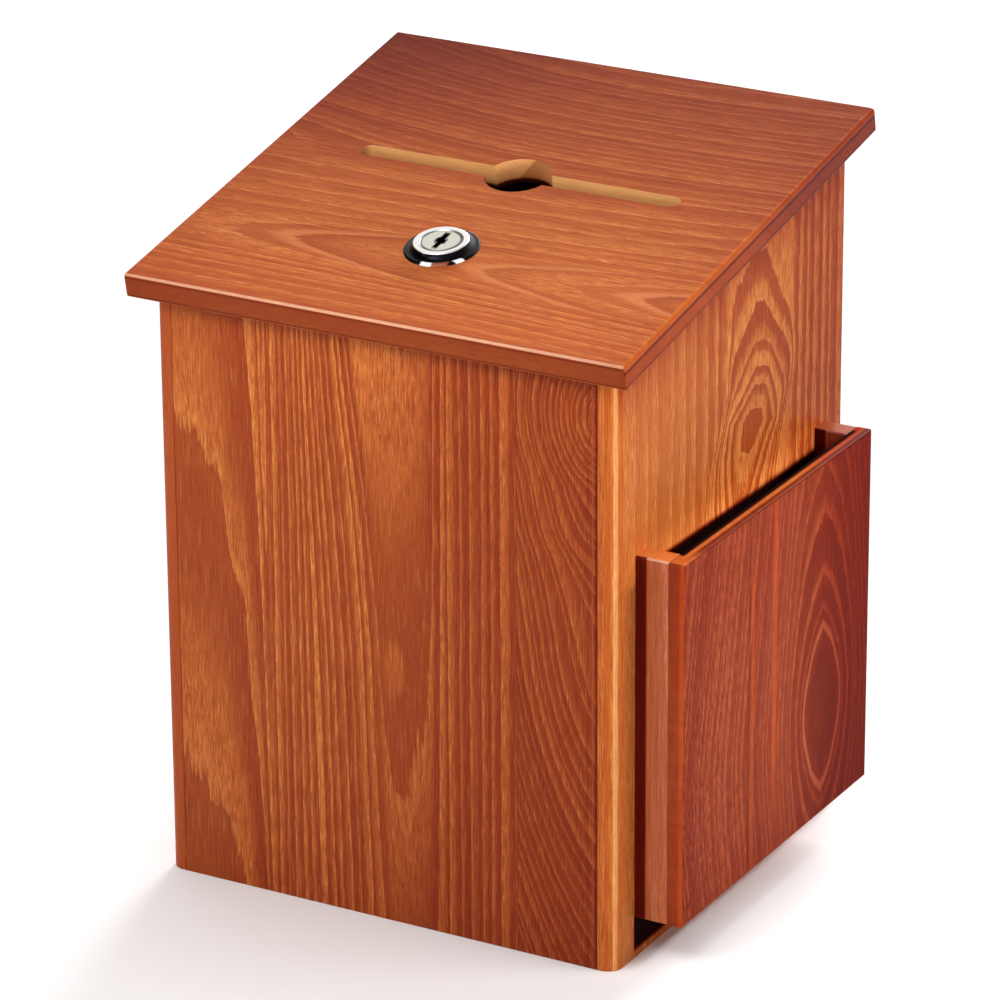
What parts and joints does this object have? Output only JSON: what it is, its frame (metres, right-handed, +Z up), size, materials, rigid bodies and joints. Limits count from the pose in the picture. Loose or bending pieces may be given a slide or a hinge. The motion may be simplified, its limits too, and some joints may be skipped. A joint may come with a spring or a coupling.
{
  "type": "suggestion box",
  "caption": "Wooden suggestion box with a sloping hinged lid, a card slot with a finger hole, a cam lock in the lid, and an open card pocket on its right side.",
  "frame": {"origin": "centre of the box's footprint under its four walls, on the surface that it stands on; the side pocket and the lid's overhang aren't counted", "axes": "+Z up; -Y towards the low front; +X towards the side with the card pocket"},
  "size_m": [0.2247, 0.2065, 0.2859],
  "materials": {
    "stained_wood_front": "satin clear varnish over a cherry stain",
    "stained_wood_side": "satin clear varnish over a cherry stain",
    "stained_wood_lid": "satin clear varnish over a cherry stain, raw wood in the slot",
    "stained_wood_pocket": "satin clear varnish over a darker cherry stain",
    "stained_wood_strip": "satin clear varnish over a cherry stain",
    "plain_wood": "bare",
    "lock_chrome": "polished chrome plate",
    "zinc_steel": "bright zinc plate",
    "hinge_brass": "brass plate",
    "wafer_brass": "stamped"
  },
  "bodies": {
    "box": {"front_panel": "stained_wood_front", "left_side_panel": "stained_wood_side", "right_side_panel": "stained_wood_side", "back_panel": "stained_wood_front", "bottom_panel": "plain_wood", "corner_brads": "zinc_steel", "floor_brads": "zinc_steel", "pocket_panel": "stained_wood_pocket", "pocket_front_strip": "stained_wood_strip", "pocket_rear_strip": "stained_wood_strip", "pocket_bottom_strip": "stained_wood_strip", "pocket_screws": "zinc_steel", "left_hinge_body_leaf": "hinge_brass", "right_hinge_body_leaf": "hinge_brass", "left_hinge_pin": "hinge_brass", "right_hinge_pin": "hinge_brass", "hinge_body_screws": "hinge_brass", "strike_plate": "zinc_steel", "strike_screws": "zinc_steel"},
    "lid": {"lid_panel": "stained_wood_lid", "left_hinge_lid_leaf": "hinge_brass", "right_hinge_lid_leaf": "hinge_brass", "hinge_lid_screws": "hinge_brass", "lock_housing": "lock_chrome", "lock_washer": "zinc_steel", "lock_nut": "zinc_steel"},
    "lock_plug_turning": {"lock_plug": "lock_chrome", "lock_wafers": "wafer_brass", "stop_washer": "zinc_steel", "lock_cam": "zinc_steel", "cam_lock_washer": "zinc_steel", "cam_screw": "zinc_steel"}
  },
  "joints": [
    {"name": "lid_hinge", "type": "hinge", "parent": "box", "child": "lid", "pos_m": [0, 0.0984, 0.27292], "axis": [-1, 0, 0], "range_deg": [0, 158]},
    {"name": "lock_plug_turn", "type": "hinge", "parent": "lid", "child": "lock_plug_turning", "pos_m": [0, -0.04896, 0.2574], "axis": [0, 0.1882, -0.9821], "range_deg": [0, 90]}
  ]
}
